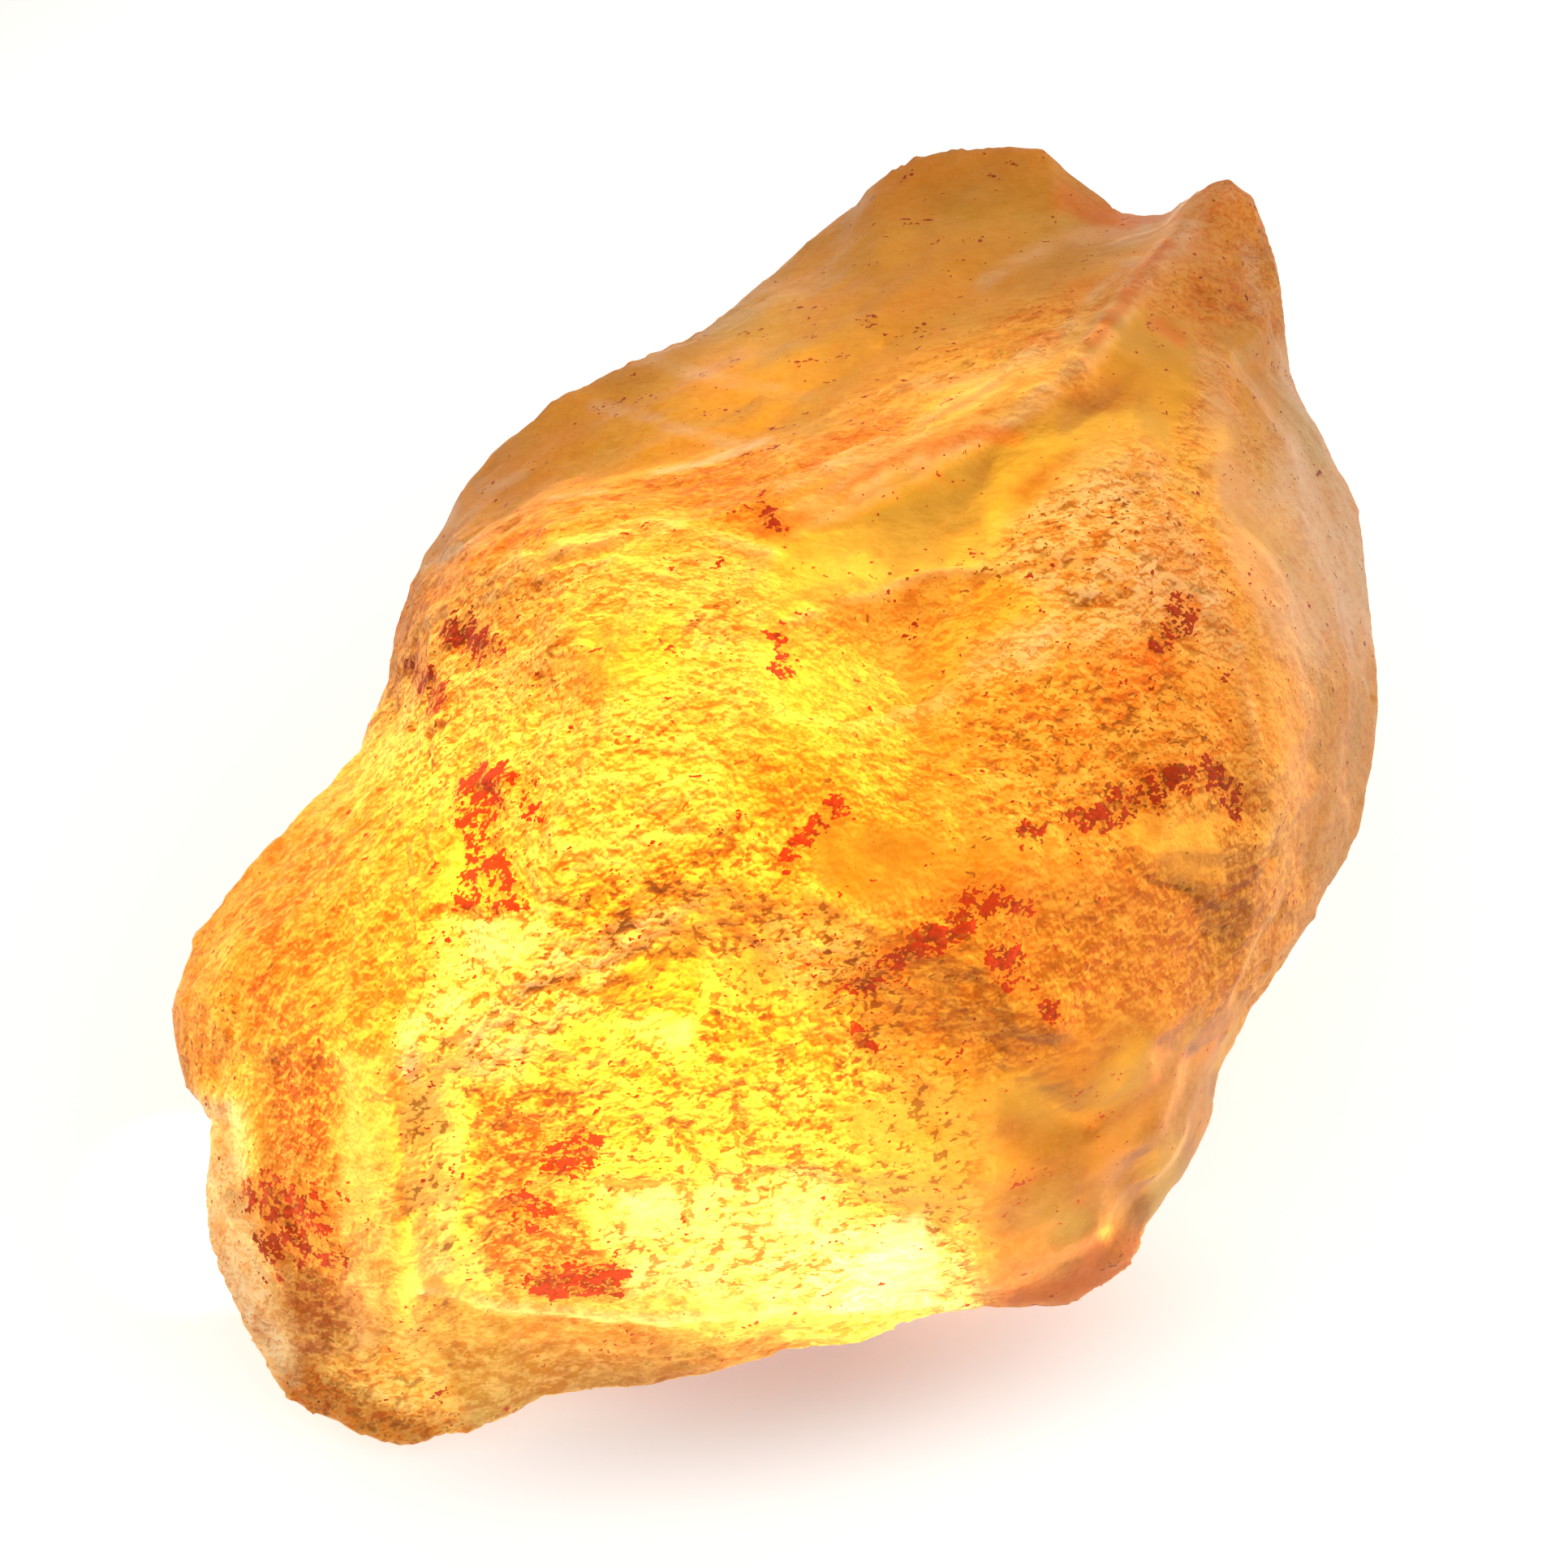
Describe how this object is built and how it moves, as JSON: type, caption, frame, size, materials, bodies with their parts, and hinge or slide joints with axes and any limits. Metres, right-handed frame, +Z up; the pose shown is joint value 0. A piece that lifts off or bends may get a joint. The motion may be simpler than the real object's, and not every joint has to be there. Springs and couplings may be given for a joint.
{
  "type": "rough sapphire crystal",
  "caption": "Rough honey-yellow sapphire: one broken, weathered, see-through crystal lying on its flattest side.",
  "frame": {"origin": "on the surface the stone lies on, under the middle of its box", "axes": "+Z up from the flat face it rests on, +Y along the stone's length towards its spiked end"},
  "size_m": [0.012, 0.0188, 0.009],
  "materials": {
    "honey_sapphire": "frosted, pitted natural skin over clear honey-yellow crystal"
  },
  "bodies": {
    "root": {"sapphire": "honey_sapphire"}
  },
  "joints": []
}
